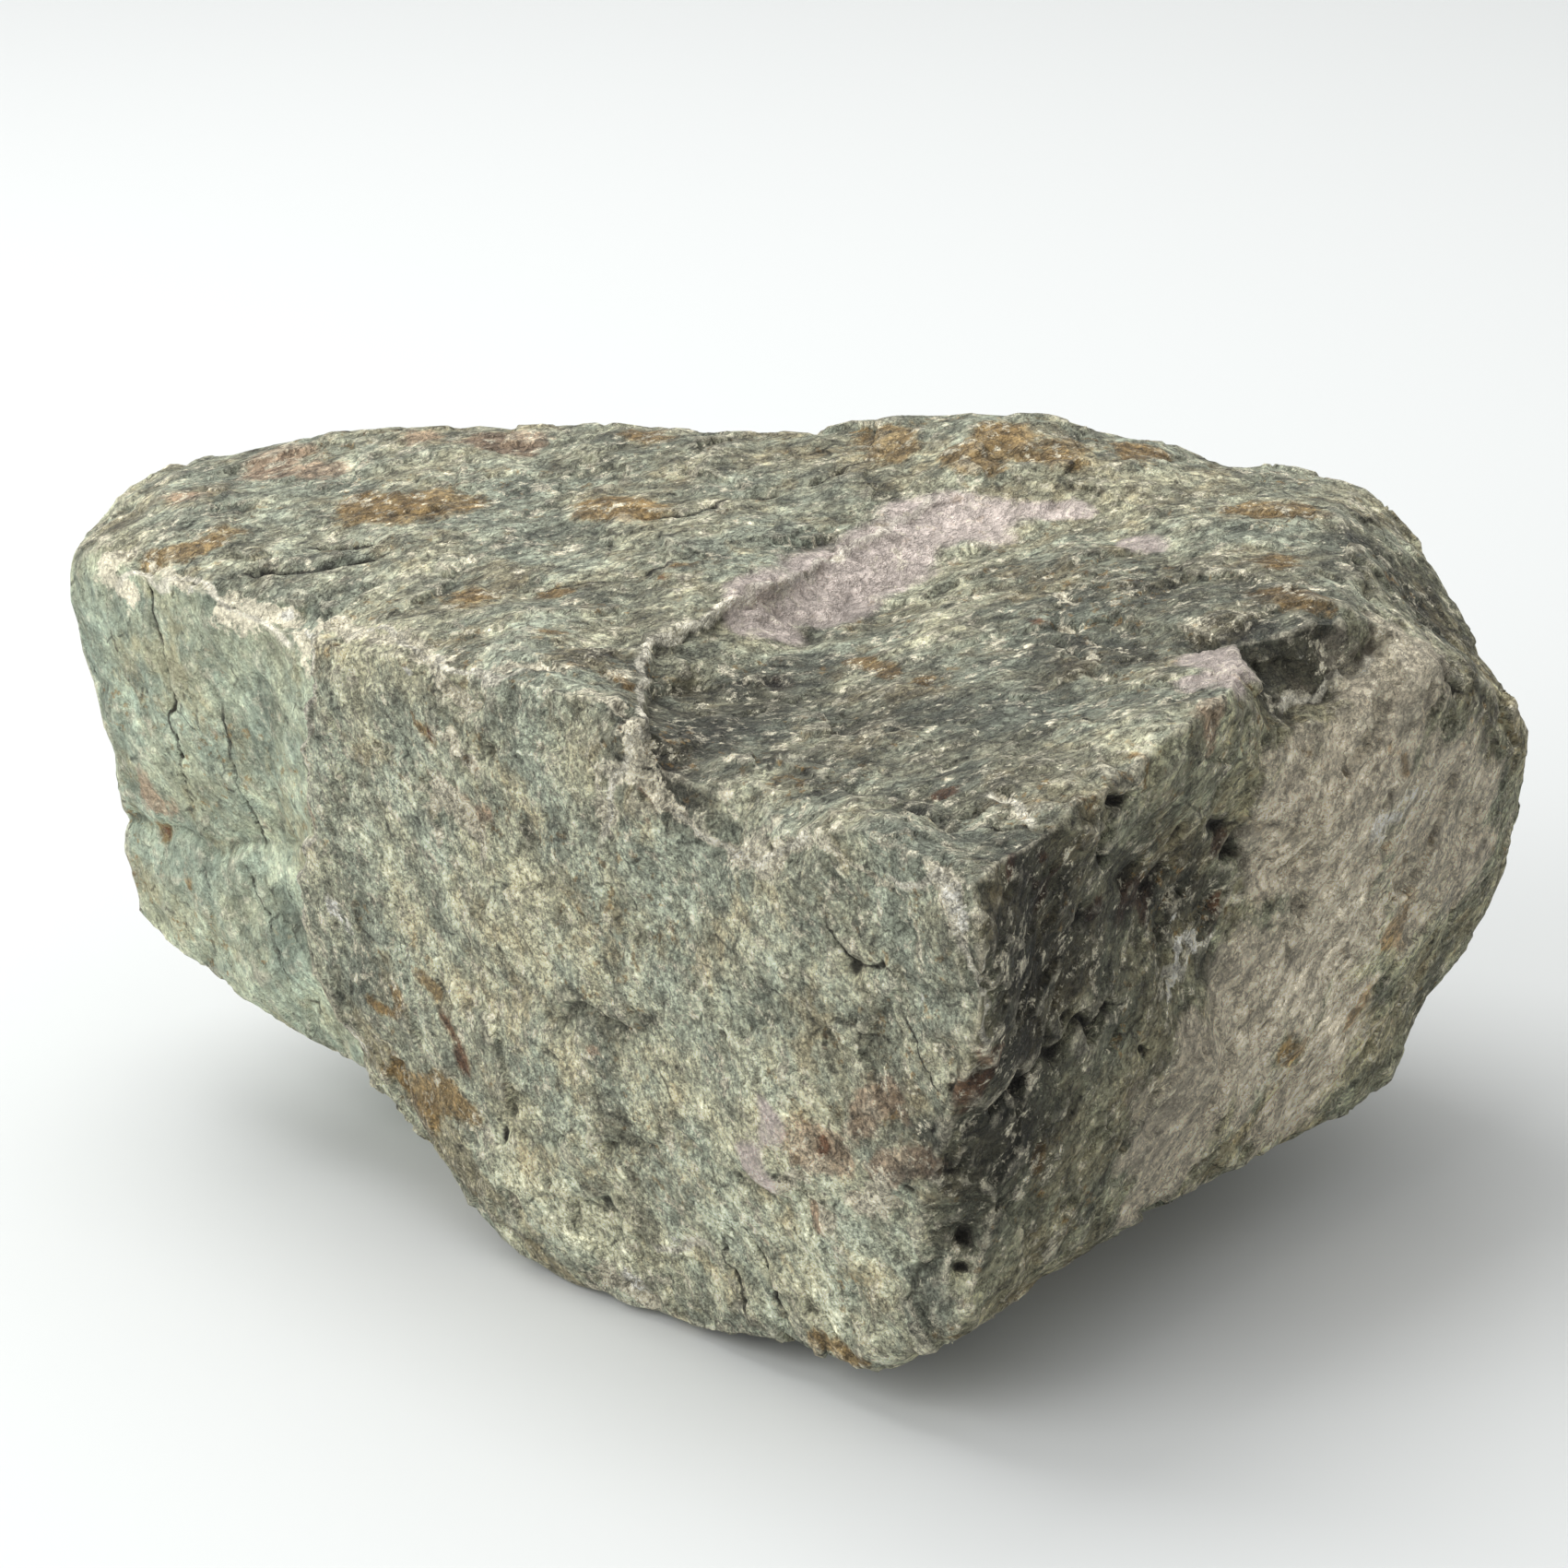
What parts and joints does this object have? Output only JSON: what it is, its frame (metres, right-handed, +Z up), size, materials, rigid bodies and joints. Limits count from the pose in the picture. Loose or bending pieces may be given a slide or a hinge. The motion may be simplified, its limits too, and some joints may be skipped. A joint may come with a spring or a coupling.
{
  "type": "rough rock",
  "caption": "Rough angular block of foliated green-grey rock with a broad stepped top, two broken faces that meet in an upright ridge, and a flat resting patch.",
  "frame": {"origin": "middle of the footprint, on the plane that the rock rests on", "axes": "+X along the longest extent, from the thin left end to the rounded right end; +Y from the upright front ridge to the back; +Z up"},
  "size_m": [0.354, 0.3, 0.167],
  "materials": {
    "rock": "rough broken stone, matt, green-grey with pale flecks and rust, ochre and pink stains"
  },
  "bodies": {
    "root": {"rock": "rock"}
  },
  "joints": []
}
